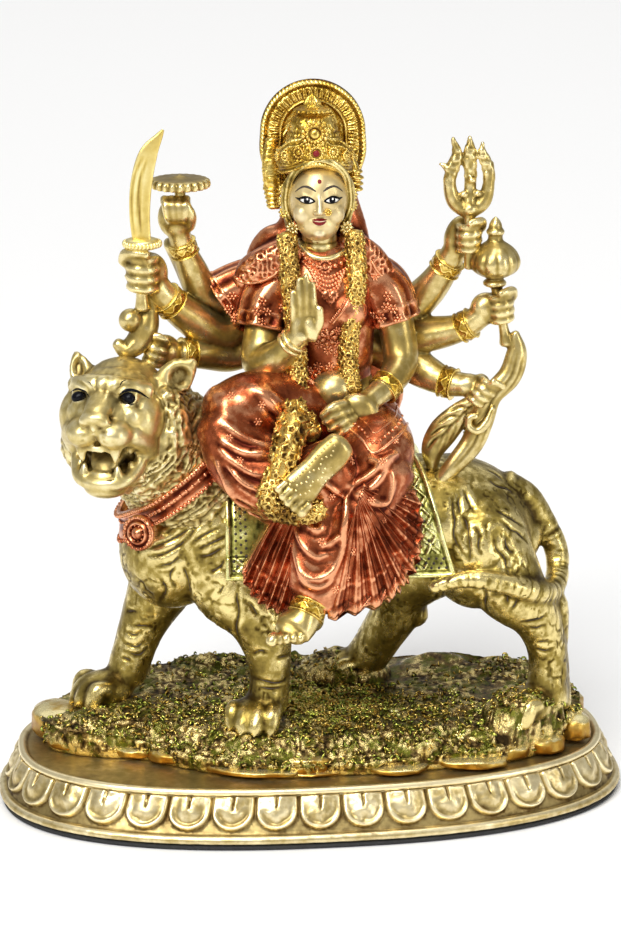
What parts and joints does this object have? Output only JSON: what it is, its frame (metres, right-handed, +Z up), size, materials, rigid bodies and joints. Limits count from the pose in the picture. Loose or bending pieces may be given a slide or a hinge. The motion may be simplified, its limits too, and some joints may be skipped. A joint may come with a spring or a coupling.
{
  "type": "durga figure",
  "caption": "Many-armed goddess seated side-saddle on a striding lion, cast with its rocky ground and set on an oval lotus-petal plinth with a felt underside.",
  "frame": {"origin": "centre of the underside of the felt pad, on the surface that the figure stands on", "axes": "+X to the viewer's right as the goddess faces the viewer, +Y away from the viewer, +Z up"},
  "size_m": [0.1596, 0.0932, 0.182],
  "materials": {
    "figure_paint": "metallic bronze, copper and gold paint over filled resin, dark in the hollows",
    "plinth_paint": "satin metallic gold paint over filled resin",
    "felt": "black felt"
  },
  "bodies": {
    "root": {"durga_on_lion": "figure_paint", "plinth": "plinth_paint", "felt_pad": "felt"}
  },
  "joints": []
}
